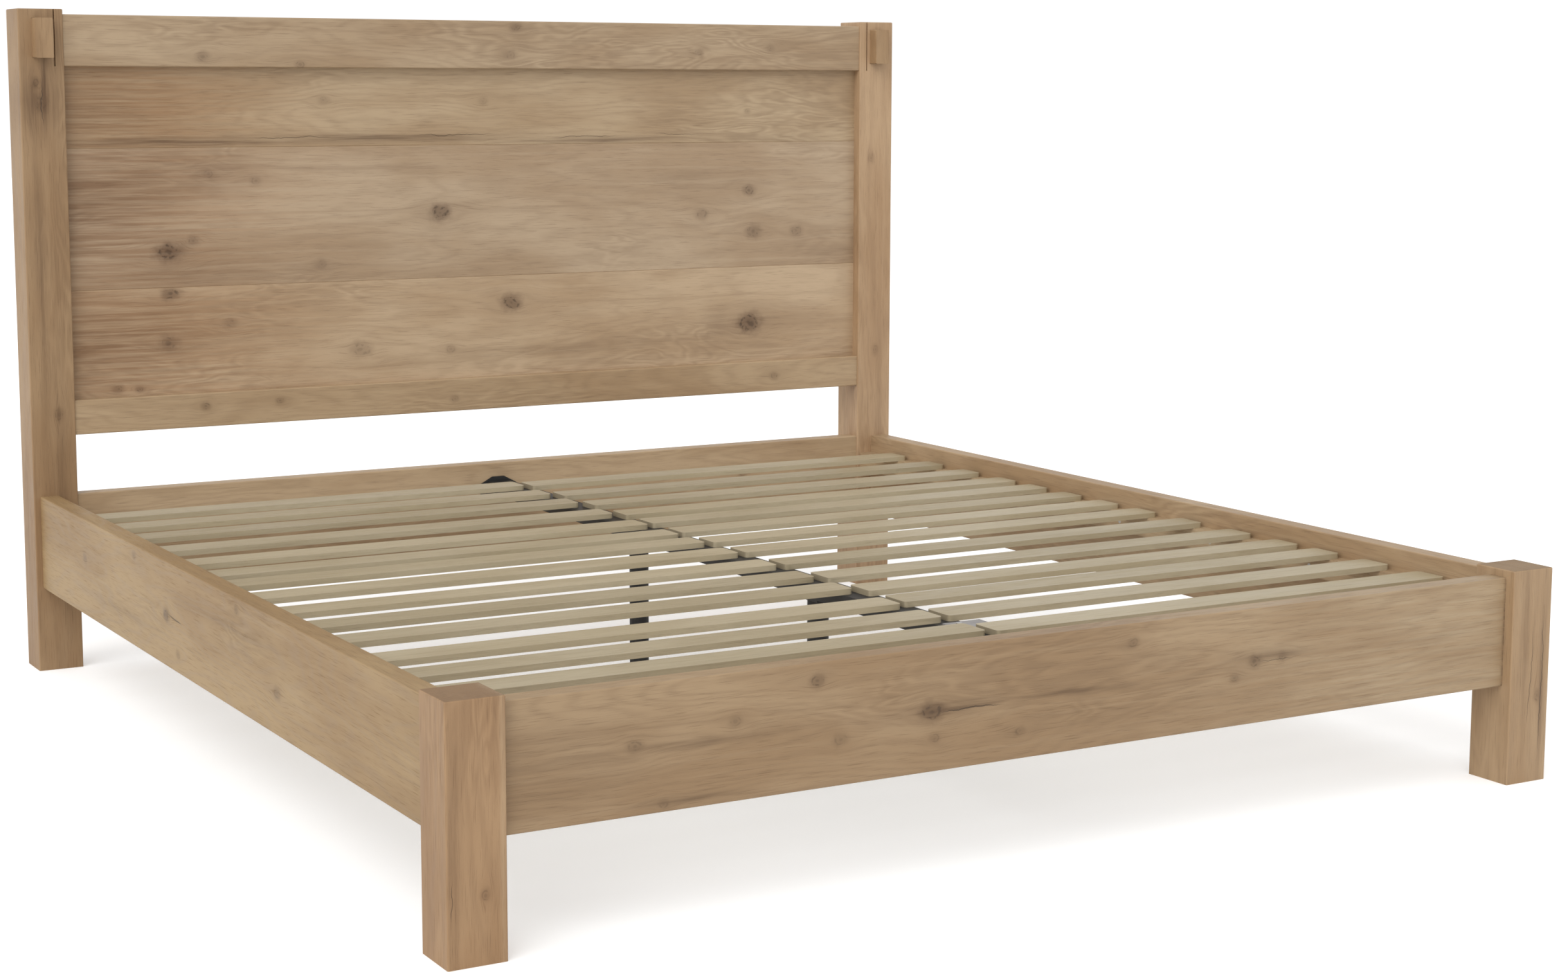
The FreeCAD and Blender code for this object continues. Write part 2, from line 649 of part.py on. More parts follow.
def bolts_and_holes(name, seats, degrees, length):
    solids = []
    drills = []
    for number, (x, y, z) in enumerate(seats, start=1):
        solids.append(bolt(f"{name}_{number}", x, y, z, degrees, length))
        drills.append(bolt(f"{name}_drill_{number}", x, y, z, degrees, length, "hole_play"))
    return solids, drills


flange_seats = []
for end, sign in ENDS.items():
    for across in (-1, 1):
        y = f"{sign} * leg_y - leg_mid_y + {across} * flange_bolt_y"
        flange_seats.append(("0", y, f"{TUBE_BOTTOM} - flange_steel"))
flange_bolts, flange_drills = bolts_and_holes("flange_bolt", flange_seats, 0, "flange_steel + 8")
tie_seats = [("0", "-tie_plate_y", f"{SLAT_UNDERSIDE} + tie_plate_steel")]
tie_bolts, tie_drills = bolts_and_holes("tie_bolt", tie_seats, 180, "tie_plate_steel + 8")
keep("centre_rail_bolts", group("centre_rail_bolt_group", flange_bolts + tie_bolts))
keep("centre_rail", take_away("tube_cut", tube_outer, [tube_bore] + flange_drills + tie_drills))

tie_stock = block("tie_stock", ("tie_plate_shift - tie_plate_width / 2", "tie_plate_width"),
                  ("-tie_plate_y - tie_plate_length / 2", "tie_plate_length"),
                  (SLAT_UNDERSIDE, "tie_plate_steel"))
keep("centre_rail_tie_plate", take_away("tie_plate_cut", tie_stock, tie_drills))


# ---------------------------------------------------------------------------------------------
# Centre legs: round tube with a flange on top and a bored plug for the plastic foot
# ---------------------------------------------------------------------------------------------
def centred(extent, middle="0"):
    return f"{middle} - ({extent}) / 2", extent


def upright(name, radius, y, bottom, height):
    """A cylinder standing on the middle line of the bed."""
    rod = doc.addObject("Part::Cylinder", name)
    bind(rod, Radius=radius, Height=height)
    place(rod, y=y, z=bottom)
    return rod


def centre_leg(end, sign):
    y = f"{sign} * leg_y - leg_mid_y"
    top = f"{TUBE_BOTTOM} - flange_steel"
    flange = block(f"flange_{end}", centred("tube_width"), centred("flange_length", y),
                   (top, "flange_steel"))
    shaft = upright(f"leg_shaft_{end}", "leg_radius", y, "leg_bottom", f"{top} - leg_bottom")
    cavity = upright(f"leg_cavity_{end}", "leg_radius - leg_wall", y, "leg_bottom + leg_plug",
                     f"{top} - leg_bottom - leg_plug")
    bore = upright(f"leg_bore_{end}", "stem_radius", y, "leg_bottom - 1", "leg_plug + 2")
    solid = join(f"leg_solid_{end}", [flange, shaft])
    return take_away(f"leg_cut_{end}", solid, [cavity, bore] + flange_drills)


def plastic_foot(end, sign):
    body = doc.addObject("PartDesign::Body", f"foot_body_{end}")
    sketch = sketch_on(body, "XZ_Plane", f"foot_profile_{end}")
    pad = SIZE["pad_radius"]
    stem = SIZE["stem_radius"]
    thick = SIZE["pad_thickness"]
    tall = SIZE["stem_top"]
    polygon(sketch, [(0, 0), (pad, 0), (pad, thick / 2), (pad - thick / 2, thick), (stem, thick),
                     (stem, tall), (0, tall)])
    for number, kind in ((0, "Horizontal"), (1, "Vertical"), (3, "Horizontal"), (4, "Vertical"),
                         (5, "Horizontal"), (6, "Vertical")):
        sketch.addConstraint(Sketcher.Constraint(kind, number))
    sketch.addConstraint(Sketcher.Constraint("Coincident", 0, 1, -1, 1))
    sizes = [("DistanceX", (-1, 1, 1, 1), pad, "pad_radius"),
             ("DistanceY", (-1, 1, 1, 2), thick / 2, "pad_thickness / 2"),
             ("DistanceX", (-1, 1, 3, 1), pad - thick / 2, "pad_radius - pad_thickness / 2"),
             ("DistanceY", (-1, 1, 3, 1), thick, "pad_thickness"),
             ("DistanceX", (-1, 1, 4, 1), stem, "stem_radius"),
             ("DistanceY", (-1, 1, 4, 2), tall, "stem_top")]
    for kind, where, value, text in sizes:
        number = sketch.addConstraint(Sketcher.Constraint(kind, *where, value))
        sketch.setExpression(f"Constraints[{number}]", formula(text))
    turned = body.newObject("PartDesign::Revolution", f"foot_turned_{end}")
    turned.Profile = sketch
    turned.ReferenceAxis = (sketch, ["V_Axis"])
    turned.Angle = 360
    body.Tip = turned
    place(body, y=f"{sign} * leg_y - leg_mid_y")
    return body


for end, sign in ENDS.items():
    keep(f"centre_leg_{end}", centre_leg(end, sign))
    keep(f"leg_glide_{end}", plastic_foot(end, sign))

doc.recompute()

# ---------------------------------------------------------------------------------------------
# Check and export
# ---------------------------------------------------------------------------------------------
failed = [item.Name for item in doc.Objects if {"Invalid", "Error"} & set(item.State)]
if failed:
    raise RuntimeError(f"did not recompute: {failed}")
os.makedirs("parts", exist_ok=True)
for label, item in parts.items():
    shape = item.Shape
    if shape.isNull() or not shape.isValid() or not shape.Solids:
        raise RuntimeError(f"{label} has no valid solid")
    shape.exportStep(f"parts/{label}.step")
    print(f"{label}: {len(shape.Solids)} solid(s), {shape.Volume / 1000:.1f} cm3")
print(f"{len(parts)} sub-parts")
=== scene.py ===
# %% [markdown]
# A rustic wooden bed, finished in Blender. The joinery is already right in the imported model, so this
# lesson is about wood: how to build a board whose grain flows round its knots, how to give every board
# its own run of that grain, and how to light pale timber so that it keeps its warmth.

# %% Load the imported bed
import bpy
import math
from mathutils import Matrix, Vector

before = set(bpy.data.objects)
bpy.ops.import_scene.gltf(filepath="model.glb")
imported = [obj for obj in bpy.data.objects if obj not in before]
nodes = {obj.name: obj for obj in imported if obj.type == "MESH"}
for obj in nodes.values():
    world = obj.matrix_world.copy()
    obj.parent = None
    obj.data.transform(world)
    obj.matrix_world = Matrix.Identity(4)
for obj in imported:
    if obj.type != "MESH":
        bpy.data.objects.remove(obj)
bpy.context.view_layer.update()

print("pieces loaded:", len(nodes))

# %% [markdown]
# Materials are made of many small nodes, so the later cells lean on a few short helpers. put adds a node
# and feed wires or sets one of its inputs. sums does arithmetic, ramp makes a soft step between two
# values, blend_colour mixes two colours and noise lays a texture. stretched draws a place out along the
# grain. new_group opens a node group with named sockets, the way a group is made by hand from a selection
# of nodes, and use_group puts one to work. metres is for boards, which are described in millimetres.

# %% Helpers for nodes
def put(tree, kind, settings=None, **inputs):
    """Adds a node; an input is a plain value or another node's output."""
    made = tree.nodes.new(kind)
    for name, value in (settings or {}).items():
        setattr(made, name, value)
    for name, value in inputs.items():
        feed(tree, made.inputs[name.replace("_", " ")], value)
    return made


def feed(tree, socket, value):
    if isinstance(value, bpy.types.NodeSocket):
        tree.links.new(value, socket)
    else:
        socket.default_value = value


def sums(tree, operation, *values, clamp=False):
    """One Math node, fed in order."""
    made = put(tree, "ShaderNodeMath", {"operation": operation, "use_clamp": clamp})
    for socket, value in zip(made.inputs, values):
        feed(tree, socket, value)
    return made.outputs[0]


def ramp(tree, value, start, end, low=0.0, high=1.0):
    """A soft step from low to high as value goes from start to end."""
    made = put(tree, "ShaderNodeMapRange", {"interpolation_type": "SMOOTHSTEP"})
    for name, amount in (("Value", value), ("From Min", start), ("From Max", end),
                         ("To Min", low), ("To Max", high)):
        feed(tree, made.inputs[name], amount)
    return made.outputs[0]


def blend_colour(tree, amount, first, second, how="MIX"):
    made = put(tree, "ShaderNodeMix", {"data_type": "RGBA", "blend_type": how})
    feed(tree, made.inputs[0], amount)
    feed(tree, made.inputs[6], first)
    feed(tree, made.inputs[7], second)
    return made.outputs[2]


def noise(tree, place, scale, detail=3.0, roughness=0.5, distortion=0.0):
    made = put(tree, "ShaderNodeTexNoise", Vector=place, Scale=scale, Detail=detail,
               Roughness=roughness, Distortion=distortion)
    return made.outputs["Fac"]


def stretched(tree, place, along, across, depth):
    """The place, scaled by its own amount each way."""
    made = put(tree, "ShaderNodeMapping", Vector=place, Scale=(along, across, depth))
    return made.outputs[0]


def new_group(name, inputs, outputs):
    """A node group with named sockets, and its two end nodes."""
    tree = bpy.data.node_groups.new(name, "ShaderNodeTree")
    for label, kind, value in inputs:
        socket = tree.interface.new_socket(name=label, in_out="INPUT", socket_type=kind)
        if value is not None:
            socket.default_value = value
    for label, kind in outputs:
        tree.interface.new_socket(name=label, in_out="OUTPUT", socket_type=kind)
    start = tree.nodes.new("NodeGroupInput")
    end = tree.nodes.new("NodeGroupOutput")
    return tree, start.outputs, end.inputs


def use_group(tree, group, values):
    made = put(tree, "ShaderNodeGroup", {"node_tree": group})
    for name, value in values.items():
        feed(tree, made.inputs[name], value)
    return made.outputs


def metres(millimetres):
    return millimetres / 1000.0


NUMBER = "NodeSocketFloat"
PLACE = "NodeSocketVector"
COLOUR = "NodeSocketColor"
print("helpers ready")

# %% [markdown]
# A knot is where a branch grew through the plank. It shows as a soft brown stain with a small dark heart
# and a thin, broken rim of bark, and the trunk's grain had to grow round it. A painter would lay the
# stain first, then the heart, then curve the lines. The node version does the same with numbers: it
# measures how far a spot is from the knot's middle, in knot radii, and from that makes the stain, the
# heart, the rim, a wide halo, and a push that squeezes the grain lines apart.

# %% The knot
def make_knot():
    tree, given, gives = new_group(
        "knot",
        [("Place", PLACE, None), ("Along", NUMBER, 0.0), ("Across", NUMBER, 0.0), ("Radius", NUMBER, 0.01),
         ("Strength", NUMBER, 0.5)],
        [("Push", NUMBER), ("Core", NUMBER), ("Rim", NUMBER), ("Halo", NUMBER)])
    spot = put(tree, "ShaderNodeSeparateXYZ", Vector=given["Place"])
    ragged = sums(tree, "MULTIPLY", sums(tree, "SUBTRACT", noise(tree, given["Place"], 60.0, 2.0), 0.5), 1.3)
    u = sums(tree, "DIVIDE", sums(tree, "SUBTRACT", spot.outputs[0], given["Along"]), given["Radius"])
    v = sums(tree, "DIVIDE", sums(tree, "SUBTRACT", spot.outputs[1], given["Across"]), given["Radius"])
    flat = sums(tree, "DIVIDE", u, 1.35)
    round_off = sums(tree, "ADD", sums(tree, "MULTIPLY", flat, flat), sums(tree, "MULTIPLY", v, v))
    away = sums(tree, "SQRT", round_off)
    uneven = sums(tree, "ADD", away, ragged)
    wide_u = sums(tree, "DIVIDE", u, 4.2)
    wide_v = sums(tree, "DIVIDE", v, 2.1)
    squared = sums(tree, "ADD", sums(tree, "MULTIPLY", wide_u, wide_u),
                   sums(tree, "MULTIPLY", wide_v, wide_v))
    halo = sums(tree, "EXPONENT", sums(tree, "MULTIPLY", squared, -1.0))
    offset = sums(tree, "MULTIPLY", v, given["Radius"])
    push = sums(tree, "MULTIPLY", offset, sums(tree, "MULTIPLY", halo, -0.92))
    broken = ramp(tree, noise(tree, given["Place"], 120.0, 2.0), 0.46, 0.62)
    band = sums(tree, "MULTIPLY", ramp(tree, uneven, 0.55, 0.8), ramp(tree, uneven, 1.1, 0.8))
    heart = sums(tree, "MULTIPLY", ramp(tree, uneven, 0.42, 0.1), 0.7)
    rim = sums(tree, "MAXIMUM", sums(tree, "MULTIPLY", band, broken), heart)
    tree.links.new(push, gives["Push"])
    core = ramp(tree, uneven, 1.9, 0.4)
    tree.links.new(sums(tree, "MULTIPLY", core, given["Strength"]), gives["Core"])
    tree.links.new(sums(tree, "MULTIPLY", rim, given["Strength"]), gives["Rim"])
    tree.links.new(sums(tree, "MULTIPLY", halo, sums(tree, "ADD", given["Strength"], 0.2)), gives["Halo"])
    return tree


knot = make_knot()
print("knot group:", len(knot.nodes), "nodes")

# %% [markdown]
# As a thick board dries it checks: a hairline opens along the grain, often starting from a knot. The
# crack group draws a thin wandering line between two places along the board, thickest in the middle.

# %% The drying crack
def make_crack():
    tree, given, gives = new_group(
        "drying_crack",
        [("Place", PLACE, None), ("Start", NUMBER, 0.0), ("End", NUMBER, 0.1), ("Level", NUMBER, 0.0),
         ("Slope", NUMBER, 0.0), ("Width", NUMBER, 0.001)],
        [("Mask", NUMBER)])
    spot = put(tree, "ShaderNodeSeparateXYZ", Vector=given["Place"])
    wander = noise(tree, stretched(tree, given["Place"], 9.0, 0.5, 0.5), 1.0, 5.0, 0.6)
    drift = sums(tree, "MULTIPLY", sums(tree, "SUBTRACT", wander, 0.5), 0.03)
    run = sums(tree, "SUBTRACT", spot.outputs[0], given["Start"])
    sloped = sums(tree, "ADD", given["Level"], sums(tree, "MULTIPLY", run, given["Slope"]))
    line = sums(tree, "ADD", sloped, drift)
    away = sums(tree, "ABSOLUTE", sums(tree, "SUBTRACT", spot.outputs[1], line))
    length = sums(tree, "SUBTRACT", given["End"], given["Start"])
    share = sums(tree, "DIVIDE", run, length)
    taper = sums(tree, "MULTIPLY", ramp(tree, share, 0.0, 0.3), ramp(tree, share, 1.0, 0.6))
    thick = sums(tree, "MULTIPLY", given["Width"], taper)
    mask = sums(tree, "DIVIDE", sums(tree, "SUBTRACT", thick, away), sums(tree, "ADD", thick, 0.0002),
                clamp=True)
    tree.links.new(mask, gives["Mask"])
    return tree


drying_crack = make_crack()
print("crack group:", len(drying_crack.nodes), "nodes")

# %% [markdown]
# Heartwood, iron and damp leave broad stains that no knot explains. A stain is a soft oval, broken up by
# noise that is stretched along the grain, so that its edges run out in streaks.

# %% The stain
def make_stain():
    tree, given, gives = new_group(
        "stain",
        [("Place", PLACE, None), ("Along", NUMBER, 0.0), ("Across", NUMBER, 0.0), ("Length", NUMBER, 0.2),
         ("Width", NUMBER, 0.02), ("Strength", NUMBER, 0.5)],
        [("Mask", NUMBER)])
    spot = put(tree, "ShaderNodeSeparateXYZ", Vector=given["Place"])
    wander = noise(tree, stretched(tree, given["Place"], 5.0, 0.5, 0.5), 1.0, 3.0, 0.6)
    reach = sums(tree, "MINIMUM", sums(tree, "MULTIPLY", given["Width"], 1.6), 0.06)
    drift = sums(tree, "MULTIPLY", sums(tree, "SUBTRACT", wander, 0.5), reach)
    across = sums(tree, "SUBTRACT", sums(tree, "SUBTRACT", spot.outputs[1], given["Across"]), drift)
    u = sums(tree, "DIVIDE", sums(tree, "SUBTRACT", spot.outputs[0], given["Along"]), given["Length"])
    v = sums(tree, "DIVIDE", across, given["Width"])
    squared = sums(tree, "ADD", sums(tree, "MULTIPLY", u, u), sums(tree, "MULTIPLY", v, v))
    oval = sums(tree, "EXPONENT", sums(tree, "MULTIPLY", squared, -1.0))
    streaks = noise(tree, stretched(tree, given["Place"], 4.0, 160.0, 160.0), 1.0, 3.0, 0.6)
    streaky = ramp(tree, streaks, 0.34, 0.66, 0.35, 1.0)
    mask = sums(tree, "MULTIPLY", sums(tree, "MULTIPLY", oval, streaky), given["Strength"], clamp=True)
    tree.links.new(mask, gives["Mask"])
    return tree


stain = make_stain()
print("stain group:", len(stain.nodes), "nodes")

# %% [markdown]
# A plain-sawn board shows the tree's yearly rings cut at a slant, as long ovals and arches. They are
# contour lines, so they can be made as contour lines: a slow, stretched noise is the hill, and a sine of
# its height draws the lines. Over that lie straighter streaks, short dark pores, and broad patches where
# the colour drifts. Where the brush has raised the grain, finer contour lines a centimetre apart show in
# some places and not in others. Each is a separate output, so that a material can use as much of it as it
# needs.

# %% The figure of the wood
BRUSHED_LINES = 95.0


def make_figure():
    tree, given, gives = new_group(
        "wood_figure",
        [("Place", PLACE, None), ("Rings", NUMBER, 14.0), ("Curl", NUMBER, 0.5)],
        [("Rings", NUMBER), ("Streaks", NUMBER), ("Pores", NUMBER), ("Patches", NUMBER), ("Brushed", NUMBER)])
    hill = noise(tree, stretched(tree, given["Place"], 0.9, 6.5, 6.5), 1.0, 2.0, 0.45, 0.0)
    small = noise(tree, stretched(tree, given["Place"], 7.0, 30.0, 30.0), 1.0, 2.0, 0.5)
    bumpy = sums(tree, "ADD", hill, sums(tree, "MULTIPLY", sums(tree, "SUBTRACT", small, 0.5),
                                         sums(tree, "MULTIPLY", given["Curl"], 0.16)))
    turns = sums(tree, "MULTIPLY", bumpy, sums(tree, "MULTIPLY", given["Rings"], 2.0 * math.pi))
    wave = sums(tree, "ADD", sums(tree, "MULTIPLY", sums(tree, "SINE", turns), 0.5), 0.5)
    tree.links.new(sums(tree, "POWER", wave, 2.2), gives["Rings"])
    streaks = noise(tree, stretched(tree, given["Place"], 1.4, 85.0, 85.0), 1.0, 4.0, 0.62)
    tree.links.new(streaks, gives["Streaks"])
    pores = noise(tree, stretched(tree, given["Place"], 22.0, 900.0, 900.0), 1.0, 2.0, 0.5)
    tree.links.new(ramp(tree, pores, 0.56, 0.72), gives["Pores"])
    patches = noise(tree, stretched(tree, given["Place"], 2.2, 7.0, 7.0), 1.0, 3.0, 0.55)
    tree.links.new(patches, gives["Patches"])
    fine_hill = noise(tree, stretched(tree, given["Place"], 2.6, 13.0, 13.0), 1.0, 3.0, 0.5, 0.4)
    swing = sums(tree, "SINE", sums(tree, "MULTIPLY", fine_hill, BRUSHED_LINES))
    fine_wave = sums(tree, "ADD", sums(tree, "MULTIPLY", swing, 0.5), 0.5)
    where = ramp(tree, noise(tree, stretched(tree, given["Place"], 1.6, 5.0, 5.0), 1.0, 1.0), 0.5, 0.64)
    tree.links.new(sums(tree, "MULTIPLY", fine_wave, where), gives["Brushed"])
    return tree


wood_figure = make_figure()
print("figure group:", len(wood_figure.nodes), "nodes")

# %% [markdown]
# The last group turns all of these masks into a finish: oiled oak that is honey coloured where the wood
# is dense, paler between the rings and dark brown in the knots. The pores and cracks are lower than the
# surface, and the hard rings are a little prouder and shinier than the soft wood between them.

# %% The oiled finish
def make_finish():
    tree, given, gives = new_group(
        "oiled_wood",
        [("Pale", COLOUR, (0.5, 0.4, 0.25, 1.0)), ("Warm", COLOUR, (0.4, 0.27, 0.15, 1.0)),
         ("Brown", COLOUR, (0.12, 0.065, 0.03, 1.0)), ("Rings", NUMBER, 0.0), ("Streaks", NUMBER, 0.5),
         ("Pores", NUMBER, 0.0), ("Patches", NUMBER, 0.5), ("Core", NUMBER, 0.0), ("Rim", NUMBER, 0.0),
         ("Halo", NUMBER, 0.0), ("Cracks", NUMBER, 0.0), ("Stains_and_shade", NUMBER, 0.0), ("Brushed", NUMBER, 0.0),
         ("End", NUMBER, 0.0), ("Figure", NUMBER, 0.5)],
        [("Color", COLOUR), ("Roughness", NUMBER), ("Height", NUMBER)])
    ground = blend_colour(tree, ramp(tree, given["Patches"], 0.36, 0.64), given["Pale"], given["Warm"])
    deep = blend_colour(tree, 0.45, given["Warm"], given["Brown"])
    ringed = blend_colour(tree, sums(tree, "MULTIPLY", given["Rings"], given["Figure"]), ground, deep)
    raised = sums(tree, "MULTIPLY", given["Brushed"], sums(tree, "MULTIPLY", given["Figure"], 1.8))
    brushed = blend_colour(tree, raised, ringed, deep)
    streak = sums(tree, "MULTIPLY", ramp(tree, given["Streaks"], 0.52, 0.78), 0.34)
    streaked = blend_colour(tree, streak, brushed, deep)
    shine = sums(tree, "MULTIPLY", ramp(tree, given["Streaks"], 0.48, 0.3), 0.35)
    lifted = blend_colour(tree, shine, streaked, given["Pale"])
    pored = blend_colour(tree, sums(tree, "MULTIPLY", given["Pores"], 0.3), lifted, given["Brown"])
    haloed = blend_colour(tree, sums(tree, "MULTIPLY", given["Halo"], 0.34), pored, deep)
    stained_and_shaded = blend_colour(tree, given["Stains_and_shade"], haloed, given["Brown"])
    cored = blend_colour(tree, sums(tree, "MULTIPLY", given["Core"], 0.75), stained_and_shaded, given["Brown"])
    rimmed = blend_colour(tree, sums(tree, "MULTIPLY", given["Rim"], 0.7), cored, (0.05, 0.03, 0.018, 1.0))
    split = blend_colour(tree, given["Cracks"], rimmed, (0.02, 0.012, 0.008, 1.0))
    end_tone = blend_colour(tree, 0.55, given["Warm"], (0.10, 0.08, 0.06, 1.0))
    ended = blend_colour(tree, sums(tree, "MULTIPLY", given["End"], 0.6), split, end_tone)
    tree.links.new(ended, gives["Color"])
    rough = sums(tree, "ADD", 0.5, sums(tree, "MULTIPLY", given["Pores"], 0.2))
    rough = sums(tree, "SUBTRACT", rough, sums(tree, "MULTIPLY", given["Rings"], 0.08))
    tree.links.new(sums(tree, "ADD", rough, sums(tree, "MULTIPLY", given["End"], 0.25)), gives["Roughness"])
    height = sums(tree, "MULTIPLY", given["Rings"], 0.25)
    height = sums(tree, "SUBTRACT", height, sums(tree, "MULTIPLY", given["Brushed"], 0.6))
    height = sums(tree, "SUBTRACT", height, sums(tree, "MULTIPLY", given["Pores"], 0.5))
    height = sums(tree, "SUBTRACT", height, sums(tree, "MULTIPLY", given["Cracks"], 3.0))
    tree.links.new(sums(tree, "SUBTRACT", height, sums(tree, "MULTIPLY", given["Rim"], 0.8)), gives["Height"])
    return tree


oiled_wood = make_finish()
print("finish group:", len(oiled_wood.nodes), "nodes")

# %% [markdown]
# Now a board's own material. Every board is described in its own terms: how far along it, how far across
# it and how deep, whichever way it lies in the bed. A rail across the bed has its grain along X, a side
# rail along Y, a post along Z, and AXES says which of X, Y and Z is along, across and deep for each. The
# pattern is shifted by a number of the board's own, STEP_ALONG and STEP_DEEP metres for each one counted,
# so that no two boards come from the same stretch of tree.
#
# Knots are given as along, across and radius in millimetres, and how dark they are from 0 to 1. Stains have a
# length and a width instead of a radius, and so do the few thin lines of painted shade listed with them.
# Cracks have a start, an end, a level, a slope and a width. A tint warms, cools or deepens the whole board,
# and a wash does the same to one part of it.
# WARMER and PALER are the two washes in use. Like a tint, they multiply red, green and blue.

# %% A board's material
AXES = {"x": (0, 2, 1), "y": (1, 2, 0), "z": (2, 0, 1)}
STEP_ALONG, STEP_DEEP = 7.31, 1.7
OAK = {"pale": (0.48, 0.345, 0.21), "warm": (0.39, 0.262, 0.148), "brown": (0.13, 0.075, 0.04)}
WARMER = (0.86, 0.73, 0.63)
PALER = (1.16, 1.27, 1.40)


def stain_mask(tree, place, along, across, length, width, strength):
    return use_group(tree, stain, {"Place": place, "Along": metres(along), "Across": metres(across),
                                   "Length": metres(length), "Width": metres(width),
                                   "Strength": strength})["Mask"]


def board_material(name, grain, number, knots=(), cracks=(), stains_and_shade=(), tint=(1.0, 1.0, 1.0), tones=OAK,
                   figure=0.22, rings=26.0, curl=0.5, washes=()):
    material = bpy.data.materials.new(name)
    material.use_nodes = True
    tree = material.node_tree
    shader = tree.nodes["Principled BSDF"]
    here = put(tree, "ShaderNodeTexCoord")
    parts = put(tree, "ShaderNodeSeparateXYZ", Vector=here.outputs["Object"])
    first, second, third = AXES[grain]
    board = put(tree, "ShaderNodeCombineXYZ", X=parts.outputs[first], Y=parts.outputs[second],
                Z=parts.outputs[third])
    place = board.outputs[0]
    push, core, rim, halo, crack, stained_and_shaded = 0.0, 0.0, 0.0, 0.0, 0.0, 0.0
    for along, across, radius, strength in knots:
        one = use_group(tree, knot, {"Place": place, "Along": metres(along), "Across": metres(across),
                                     "Radius": metres(radius), "Strength": strength})
        push = sums(tree, "ADD", push, one["Push"])
        core = sums(tree, "MAXIMUM", core, one["Core"])
        rim = sums(tree, "MAXIMUM", rim, one["Rim"])
        halo = sums(tree, "MAXIMUM", halo, one["Halo"])
    for start, end, level, slope, width in cracks:
        one = use_group(tree, drying_crack, {"Place": place, "Start": metres(start), "End": metres(end),
                                             "Level": metres(level), "Slope": slope, "Width": metres(width)})
        crack = sums(tree, "MAXIMUM", crack, one["Mask"])
    for along, across, length, width, strength in stains_and_shade:
        mask = stain_mask(tree, place, along, across, length, width, strength)
        stained_and_shaded = sums(tree, "MAXIMUM", stained_and_shaded, mask)
    pushed = put(tree, "ShaderNodeCombineXYZ", X=number * STEP_ALONG, Y=push, Z=number * STEP_DEEP)
    flowing = put(tree, "ShaderNodeVectorMath", {"operation": "ADD"})
    feed(tree, flowing.inputs[0], place)
    feed(tree, flowing.inputs[1], pushed.outputs[0])
    shape = use_group(tree, wood_figure, {"Place": flowing.outputs[0], "Rings": rings, "Curl": curl})
    facing = put(tree, "ShaderNodeSeparateXYZ", Vector=here.outputs["Normal"])
    end = ramp(tree, sums(tree, "ABSOLUTE", facing.outputs[first]), 0.75, 0.95)
    tinted = {tone: (*(level * share for level, share in zip(colour, tint)), 1.0)
              for tone, colour in tones.items()}
    finish = use_group(tree, oiled_wood, {
        "Pale": tinted["pale"], "Warm": tinted["warm"], "Brown": tinted["brown"],
        "Rings": shape["Rings"], "Streaks": shape["Streaks"], "Pores": shape["Pores"],
        "Patches": shape["Patches"], "Core": core, "Rim": rim, "Halo": halo, "Cracks": crack,
        "Stains_and_shade": stained_and_shaded, "Brushed": shape["Brushed"], "End": end, "Figure": figure})
    bump = put(tree, "ShaderNodeBump", Height=finish["Height"], Strength=0.35, Distance=0.0008)
    colour = finish["Color"]
    for along, across, length, width, shade in washes:
        mask = stain_mask(tree, place, along, across, length, width, 1.0)
        colour = blend_colour(tree, mask, colour, (*shade, 1.0), "MULTIPLY")
    tree.links.new(colour, shader.inputs["Base Color"])
    tree.links.new(finish["Roughness"], shader.inputs["Roughness"])
    tree.links.new(bump.outputs[0], shader.inputs["Normal"])
    shader.inputs["Specular IOR Level"].default_value = 0.35
    return material


def dress(node, material):
    for slot in nodes[node].material_slots:
        slot.material = material


print("board materials can be made")

# %% [markdown]
# The headboard is where the timber shows best: a framed panel of three wide planks. Its knots are placed one
# by one, a few large ones and many pin knots. Dark ragged streaks follow the joint under the upper plank, and
# the planks deepen towards their left ends.

# %% The headboard
top_rail_knots = [(-642, 1234, 9, 0.4), (-436, 1219, 7, 0.35), (55, 1302, 8, 0.5), (41, 1242, 10, 0.4),
                  (501, 1252, 7, 0.35), (689, 1262, 7, 0.3)]
lower_rail_knots = [(-655, 519, 7, 0.5), (-495, 521, 6, 0.4), (-99, 502, 7, 0.4), (701, 512, 8, 0.45)]
upper_knots = [(-380, 1146, 9, 0.3), (-17, 1142, 8, 0.25), (640, 1120, 5, 0.25)]
middle_knots = [(-630, 996, 8, 0.3), (-530, 980, 8, 0.3), (-120, 905, 15, 0.85), (-717, 837, 17, 0.95),
                (-667, 859, 9, 0.5), (-390, 802, 9, 0.4), (645, 940, 10, 0.6), (520, 887, 10, 0.4),
                (657, 846, 12, 0.55), (770, 846, 10, 0.4)]
lower_knots = [(-717, 752, 12, 0.8), (-724, 650, 13, 0.6), (-592, 687, 9, 0.35), (45, 705, 15, 0.9),
               (-305, 619, 14, 0.4), (647, 634, 19, 1.0), (-99, 609, 8, 0.3), (-830, 562, 8, 0.5),
               (-786, 559, 6, 0.6)]
seam_stains = [(-700, 1062, 260, 9, 0.95), (-250, 1066, 300, 8, 0.95), (250, 1058, 220, 7, 0.7),
               (640, 1058, 160, 7, 0.45), (-860, 1120, 120, 60, 0.4)]
seam_cracks = [(-560, -330, 1068, 0.0, 0.9), (-190, 30, 1072, 0.0, 1.0), (130, 330, 1064, 0.0, 0.9),
               (390, 530, 1070, 0.0, 0.7)]
middle_stains = [(-860, 930, 170, 140, 0.5), (-640, 990, 120, 40, 0.3), (-700, 790, 200, 30, 0.3),
                 (520, 960, 160, 25, 0.2)]
lower_stains = [(-840, 660, 170, 100, 0.5), (560, 630, 40, 50, 0.35), (120, 600, 260, 14, 0.25),
                (660, 640, 120, 20, 0.35)]

